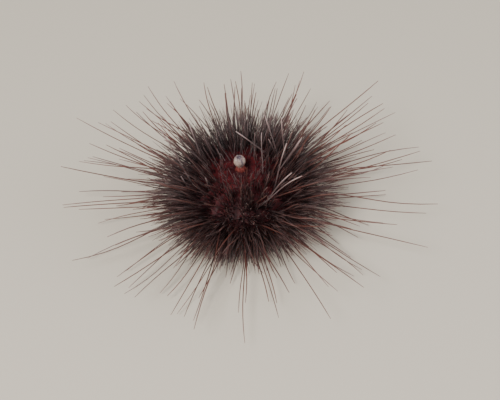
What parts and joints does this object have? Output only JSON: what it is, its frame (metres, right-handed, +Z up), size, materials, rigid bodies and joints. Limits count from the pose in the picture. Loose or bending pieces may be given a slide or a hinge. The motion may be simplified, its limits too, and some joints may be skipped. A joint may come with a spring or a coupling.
{
  "type": "long-spined sea urchin",
  "caption": "Small long-spined sea urchin, a low domed test with slender radiating spines, a crown of plates and a pale bulb on top, standing on its oral spines.",
  "frame": {"origin": "middle of the spread of the spines in X and Y, on the floor that the oral spines and tube feet stand on", "axes": "+Z up along the body axis, from the mouth to the crown; the side that faces the picture's viewer is -Y"},
  "size_m": [0.0874, 0.0744, 0.0344],
  "materials": {
    "ambulacrum": "dark mauve-brown calcite spines on thin dark crimson skin",
    "interambulacrum": "reddish-brown calcite spines with pale tips on thin crimson skin",
    "apical_disc": "blood-red plates under moist skin",
    "periproct": "dark moist membrane with small plates",
    "anal_papilla": "moist membrane, cream-white bulb over an orange-red foot",
    "peristome": "moist dark red membrane",
    "teeth": "white calcite"
  },
  "bodies": {
    "root": {"ambulacrum_1": "ambulacrum", "ambulacrum_2": "ambulacrum", "ambulacrum_3": "ambulacrum", "ambulacrum_4": "ambulacrum", "ambulacrum_5": "ambulacrum", "interambulacrum_1": "interambulacrum", "interambulacrum_2": "interambulacrum", "interambulacrum_3": "interambulacrum", "interambulacrum_4": "interambulacrum", "interambulacrum_5": "interambulacrum", "apical_disc": "apical_disc", "periproct": "periproct", "anal_papilla": "anal_papilla", "peristome": "peristome", "tooth_1": "teeth", "tooth_2": "teeth", "tooth_3": "teeth", "tooth_4": "teeth", "tooth_5": "teeth"}
  },
  "joints": []
}
